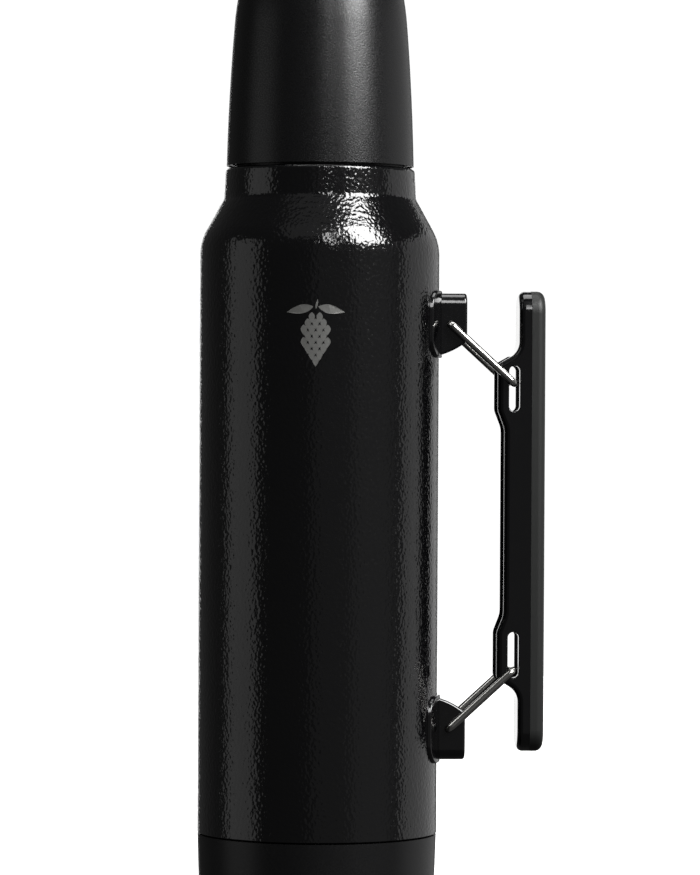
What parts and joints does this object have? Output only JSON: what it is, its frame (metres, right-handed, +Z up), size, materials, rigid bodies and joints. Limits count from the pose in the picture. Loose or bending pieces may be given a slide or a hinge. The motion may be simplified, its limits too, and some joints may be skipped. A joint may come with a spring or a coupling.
{
  "type": "vacuum bottle",
  "caption": "Tall insulated vacuum bottle with a hammered dark finish, a screw-on cup, a screw stopper and a folding side handle on wire bails.",
  "frame": {"origin": "on the bottle's axis, at the underside of the base pad that it stands on", "axes": "+Z up along the bottle's axis, +X from the axis towards the side handle, +Y completes the right-handed frame"},
  "size_m": [0.137, 0.095, 0.364],
  "materials": {
    "hammertone_paint": "gloss hammered texture",
    "stainless": "satin",
    "copper_foil": "bright",
    "sealing_glass": "gloss",
    "getter_metal": "matte",
    "base_plastic": "matte",
    "pad_rubber": "matte",
    "black_plastic": "satin",
    "gloss_paint": "gloss",
    "chrome_wire": "bright",
    "gloss_plastic": "gloss",
    "grip_plastic": "matte",
    "cup_coat": "satin",
    "silicone": "matte",
    "foam": "matte"
  },
  "bodies": {
    "bottle": {"outer_shell": "hammertone_paint", "inner_vessel": "stainless", "radiation_foil": "copper_foil", "shell_base": "stainless", "vacuum_seal": "sealing_glass", "getter": "getter_metal", "base_cap": "base_plastic", "base_pad": "pad_rubber", "neck_collar": "black_plastic", "upper_bracket_pad": "gloss_paint", "lower_bracket_pad": "gloss_paint", "upper_bracket": "gloss_paint", "lower_bracket": "gloss_paint"},
    "handle": {"handle_frame": "gloss_plastic", "handle_grip": "grip_plastic", "grip_screws": "stainless"},
    "upper_bail": {"upper_bail": "chrome_wire"},
    "lower_bail": {"lower_bail": "chrome_wire"},
    "cup_gasket": {"cup_gasket": "silicone"},
    "cup": {"cup_shell": "cup_coat", "cup_liner": "stainless", "cup_collar": "black_plastic"},
    "stopper_seal": {"stopper_seal": "silicone"},
    "stopper": {"stopper_body": "black_plastic", "stopper_core": "foam", "stopper_cover": "stainless"}
  },
  "joints": [
    {"name": "handle_fold", "type": "slide", "parent": "bottle", "child": "handle", "axis": [0.9932, 0, 0.1163], "range_m": [-0.0173, 0.0006]},
    {"name": "upper_bail_swing", "type": "hinge", "parent": "bottle", "child": "upper_bail", "pos_m": [0.0514, 0, 0.2263], "axis": [0, 1, 0], "range_deg": [-1.5, 34.5]},
    {"name": "lower_bail_swing", "type": "hinge", "parent": "bottle", "child": "lower_bail", "pos_m": [0.0514, 0, 0.0663], "axis": [0, 1, 0], "range_deg": [-34.5, 1.5]},
    {"name": "cup_lift", "type": "slide", "parent": "bottle", "child": "cup_gasket", "axis": [0, 0, 1], "range_m": [0, 0.0361]},
    {"name": "cup_turn", "type": "hinge", "parent": "cup_gasket", "child": "cup", "pos_m": [0, 0, 0.3], "axis": [0, 0, 1], "range_deg": [0, 1080]},
    {"name": "stopper_lift", "type": "slide", "parent": "bottle", "child": "stopper_seal", "axis": [0, 0, 1], "range_m": [0, 0.0301]},
    {"name": "stopper_turn", "type": "hinge", "parent": "stopper_seal", "child": "stopper", "pos_m": [0, 0, 0.304], "axis": [0, 0, 1], "range_deg": [0, 900]}
  ],
  "couplings": [
    {"joint": "upper_bail_swing", "follows": "handle_fold", "rad_per_m": -34.3},
    {"joint": "lower_bail_swing", "follows": "handle_fold", "rad_per_m": 34.3},
    {"joint": "cup_lift", "follows": "cup_turn", "m_per_rad": 0.0019099},
    {"joint": "stopper_lift", "follows": "stopper_turn", "m_per_rad": 0.0019099}
  ]
}
